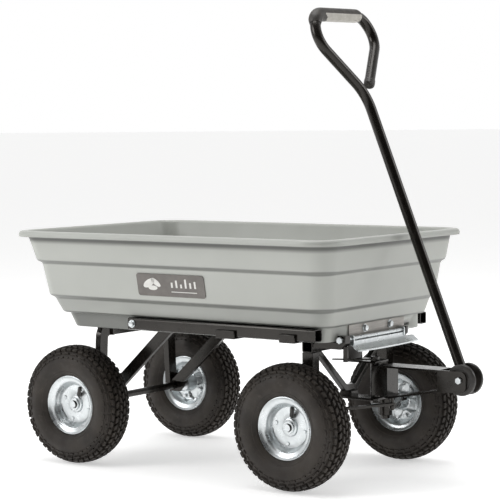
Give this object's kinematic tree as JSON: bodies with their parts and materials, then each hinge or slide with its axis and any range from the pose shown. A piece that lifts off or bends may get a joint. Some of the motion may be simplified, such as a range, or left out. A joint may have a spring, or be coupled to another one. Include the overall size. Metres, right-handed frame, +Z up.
{
  "type": "garden cart",
  "caption": "Four-wheel pull cart with a stepped tipping tub, a steered front axle with tie rods, pneumatic wheels and a bent-tube loop handle.",
  "frame": {"origin": "on the ground, at the centre of the cart's bounding box", "axes": "+X towards the pull handle, +Y to the cart's left, +Z up"},
  "size_m": [1.009, 0.566, 0.973],
  "materials": {
    "tub_plastic": "moulded, lightly pebbled",
    "badge_plastic": "satin label plate",
    "black_paint": "gloss powder coat on steel",
    "zinc": "bright zinc plate",
    "tyre_rubber": "knobby tread, matt",
    "black_plastic": "moulded satin",
    "grip_rubber": "soft, dark above and light grey below"
  },
  "bodies": {
    "frame": {"mid_strap": "black_paint", "front_strap": "black_paint", "rear_leg": "black_paint", "hinge_pin": "zinc", "rear_axle": "black_paint", "frame_tube_left": "black_paint", "frame_tube_right": "black_paint", "rear_diagonal_left": "black_paint", "rear_diagonal_right": "black_paint", "axle_bracket_left": "black_paint", "axle_bracket_right": "black_paint", "front_cross_member": "black_paint", "brace_v": "black_paint", "lower_steering_plate": "black_paint", "upper_steering_bracket": "black_paint", "latch_bracket_left": "black_paint", "latch_bracket_right": "black_paint", "lock_pin_clip": "black_paint", "latch_pin": "zinc", "steering_bolt": "black_paint", "front_leg_left": "black_paint", "front_leg_right": "black_paint", "axle_washer_rear_left": "zinc", "axle_washer_rear_right": "zinc"},
    "tub": {"tub": "tub_plastic", "badge_plate": "badge_plastic", "tub_rail_left": "black_paint", "tub_rail_right": "black_paint", "rail_bolt_left": "zinc", "rail_bolt_right": "zinc", "tub_hinge_lug_left": "black_paint", "tub_hinge_lug_right": "black_paint", "striker_plate": "zinc", "striker_bolt_left": "zinc", "striker_bolt_right": "zinc"},
    "lever": {"dump_lever": "zinc"},
    "tongue": {"tongue": "black_paint", "handle_bolt": "zinc"},
    "knuckle_left": {"knuckle_left": "black_paint", "axle_washer_front_left": "zinc"},
    "knuckle_right": {"knuckle_right": "black_paint", "axle_washer_front_right": "zinc"},
    "tie_rod_left": {"tie_rod_left": "black_paint"},
    "tie_rod_right": {"tie_rod_right": "black_paint"},
    "handle": {"handle_tube": "black_paint", "handle_grip": "grip_rubber", "handle_end_cap": "black_plastic", "handle_yoke": "black_plastic"},
    "wheel_rear_left": {"tyre_rear_left": "tyre_rubber", "rim_rear_left": "zinc", "valve_rear_left": "black_plastic"},
    "wheel_rear_right": {"tyre_rear_right": "tyre_rubber", "rim_rear_right": "zinc", "valve_rear_right": "black_plastic"},
    "wheel_front_left": {"tyre_front_left": "tyre_rubber", "rim_front_left": "zinc", "valve_front_left": "black_plastic"},
    "wheel_front_right": {"tyre_front_right": "tyre_rubber", "rim_front_right": "zinc", "valve_front_right": "black_plastic"}
  },
  "joints": [
    {"name": "tub_dump", "type": "hinge", "parent": "frame", "child": "tub", "pos_m": [-0.383, 0, 0.306], "axis": [0, -1, 0], "range_deg": [0, 70]},
    {"name": "lever_release", "type": "hinge", "parent": "frame", "child": "lever", "pos_m": [0.279, 0, 0.302], "axis": [0, -1, 0], "range_deg": [0, 35], "stiffness_Nm_per_rad": 0.6, "springref_deg": -34.38},
    {"name": "steering", "type": "hinge", "parent": "frame", "child": "tongue", "pos_m": [0.263, 0, 0.205], "axis": [0, 0, 1], "range_deg": [-28, 28]},
    {"name": "knuckle_left_turn", "type": "hinge", "parent": "frame", "child": "knuckle_left", "pos_m": [0.199, 0.144, 0.129], "axis": [0, 0, 1], "range_deg": [-28, 28]},
    {"name": "knuckle_right_turn", "type": "hinge", "parent": "frame", "child": "knuckle_right", "pos_m": [0.199, -0.144, 0.129], "axis": [0, 0, 1], "range_deg": [-28, 28]},
    {"name": "tie_rod_left_swing", "type": "hinge", "parent": "knuckle_left", "child": "tie_rod_left", "pos_m": [0.239, 0.144, 0.151], "axis": [0, 0, 1], "range_deg": [-28, 28]},
    {"name": "tie_rod_right_swing", "type": "hinge", "parent": "knuckle_right", "child": "tie_rod_right", "pos_m": [0.239, -0.144, 0.157], "axis": [0, 0, 1], "range_deg": [-28, 28]},
    {"name": "handle_pitch", "type": "hinge", "parent": "tongue", "child": "handle", "pos_m": [0.474, 0, 0.22], "axis": [0, 1, 0], "range_deg": [0, 118]},
    {"name": "wheel_rear_left_spin", "type": "hinge", "parent": "frame", "child": "wheel_rear_left", "pos_m": [-0.373, 0.204, 0.12905], "axis": [0, 1, 0], "continuous": true},
    {"name": "wheel_rear_right_spin", "type": "hinge", "parent": "frame", "child": "wheel_rear_right", "pos_m": [-0.373, -0.204, 0.12905], "axis": [0, 1, 0], "continuous": true},
    {"name": "wheel_front_left_spin", "type": "hinge", "parent": "knuckle_left", "child": "wheel_front_left", "pos_m": [0.199, 0.2145, 0.12905], "axis": [0, 1, 0], "continuous": true},
    {"name": "wheel_front_right_spin", "type": "hinge", "parent": "knuckle_right", "child": "wheel_front_right", "pos_m": [0.199, -0.2145, 0.12905], "axis": [0, 1, 0], "continuous": true}
  ],
  "couplings": [
    {"joint": "knuckle_left_turn", "follows": "steering", "ratio": 1},
    {"joint": "knuckle_right_turn", "follows": "steering", "ratio": 1},
    {"joint": "tie_rod_left_swing", "follows": "steering", "ratio": -1},
    {"joint": "tie_rod_right_swing", "follows": "steering", "ratio": -1}
  ]
}
